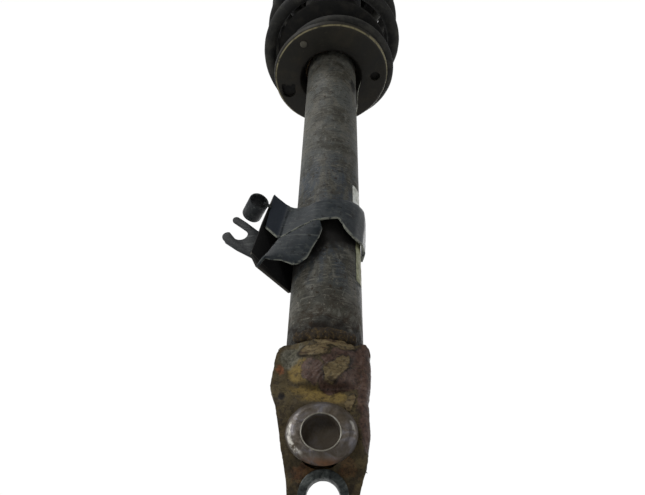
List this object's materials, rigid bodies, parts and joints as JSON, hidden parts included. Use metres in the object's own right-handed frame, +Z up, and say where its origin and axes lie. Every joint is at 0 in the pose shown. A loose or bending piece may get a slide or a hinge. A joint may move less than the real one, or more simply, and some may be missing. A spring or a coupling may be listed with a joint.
{
  "type": "suspension strut assembly",
  "caption": "Coil-over suspension strut with a welded knuckle bracket, hose bracket, lower spring seat, coil spring, dust boot and rubber top mount.",
  "frame": {"origin": "point on the strut axis 1.8 mm above the centre of the lower bolt eye", "axes": "+Z up the strut axis towards the top mount, -Y towards the side with the bolt boss, +X to the right seen from that side"},
  "size_m": [0.1614, 0.162, 0.7423],
  "materials": {
    "tube_paint": "worn satin grey paint",
    "bracket_rust": "flaking paint over rust",
    "bare_steel": "worn bare steel",
    "black_sheet": "satin black paint",
    "seat_paint": "dusty black paint",
    "spring_paint": "dusty dark grey coating",
    "weld": "rough rusty weld",
    "rubber": "matt",
    "chrome": "polished",
    "machined_steel": "machined",
    "nylon": "matt",
    "urethane": "matt foam",
    "zinc": "zinc plated",
    "label": "blank film"
  },
  "bodies": {
    "strut_body": {"outer_tube": "tube_paint", "bracket_front_shell": "bracket_rust", "bracket_rear_shell": "bracket_rust", "boss_ring": "bare_steel", "lower_eye_bush": "bare_steel", "bracket_weld_bead": "weld", "hose_bracket": "black_sheet", "hose_hook": "black_sheet", "cable_ring": "black_sheet", "lower_spring_seat": "seat_paint", "seat_rivet": "seat_paint", "lower_spring_pad": "rubber", "seat_weld_bead": "weld", "coil_spring": "spring_paint", "dust_boot": "rubber", "base_cap": "machined_steel", "foot_valve": "machined_steel", "inner_cylinder": "machined_steel", "rod_guide": "machined_steel", "rod_seal": "rubber", "gland_cap": "zinc", "label_upper": "label", "label_lower": "label"},
    "upper_seat": {"upper_spring_pad": "rubber", "upper_spring_seat": "seat_paint", "bearing_lower_race": "nylon"},
    "bearing_rollers": {"bearing_cage": "nylon", "bearing_ball_1": "chrome", "bearing_ball_2": "chrome", "bearing_ball_3": "chrome", "bearing_ball_4": "chrome", "bearing_ball_5": "chrome", "bearing_ball_6": "chrome", "bearing_ball_7": "chrome", "bearing_ball_8": "chrome", "bearing_ball_9": "chrome", "bearing_ball_10": "chrome", "bearing_ball_11": "chrome", "bearing_ball_12": "chrome"},
    "top_mount": {"bearing_upper_race": "nylon", "piston_rod": "chrome", "piston": "machined_steel", "piston_band": "nylon", "piston_nut": "zinc", "rebound_stop": "urethane", "bump_stop": "urethane", "bump_stop_cup": "seat_paint", "rebound_washer": "zinc", "mount_sleeve": "machined_steel", "mount_rubber": "rubber", "top_mount_plate": "seat_paint", "mount_stud_1": "zinc", "mount_stud_2": "zinc", "mount_stud_3": "zinc", "rod_washer": "zinc", "rod_nut": "zinc"}
  },
  "joints": [
    {"name": "damper_stroke", "type": "slide", "parent": "strut_body", "child": "upper_seat", "axis": [0, 0, -1], "range_m": [0, 0.1], "stiffness_N_per_m": 20000, "springref_m": -0.03, "deforming": ["coil_spring", "dust_boot"]},
    {"name": "top_mount_swivel", "type": "hinge", "parent": "upper_seat", "child": "top_mount", "pos_m": [0, 0, 0.676], "axis": [0, 0, 1], "continuous": true},
    {"name": "bearing_roll", "type": "hinge", "parent": "upper_seat", "child": "bearing_rollers", "pos_m": [0, 0, 0.6647], "axis": [0, 0, 1], "continuous": true}
  ],
  "couplings": [
    {"joint": "bearing_roll", "follows": "top_mount_swivel", "ratio": 0.5}
  ]
}
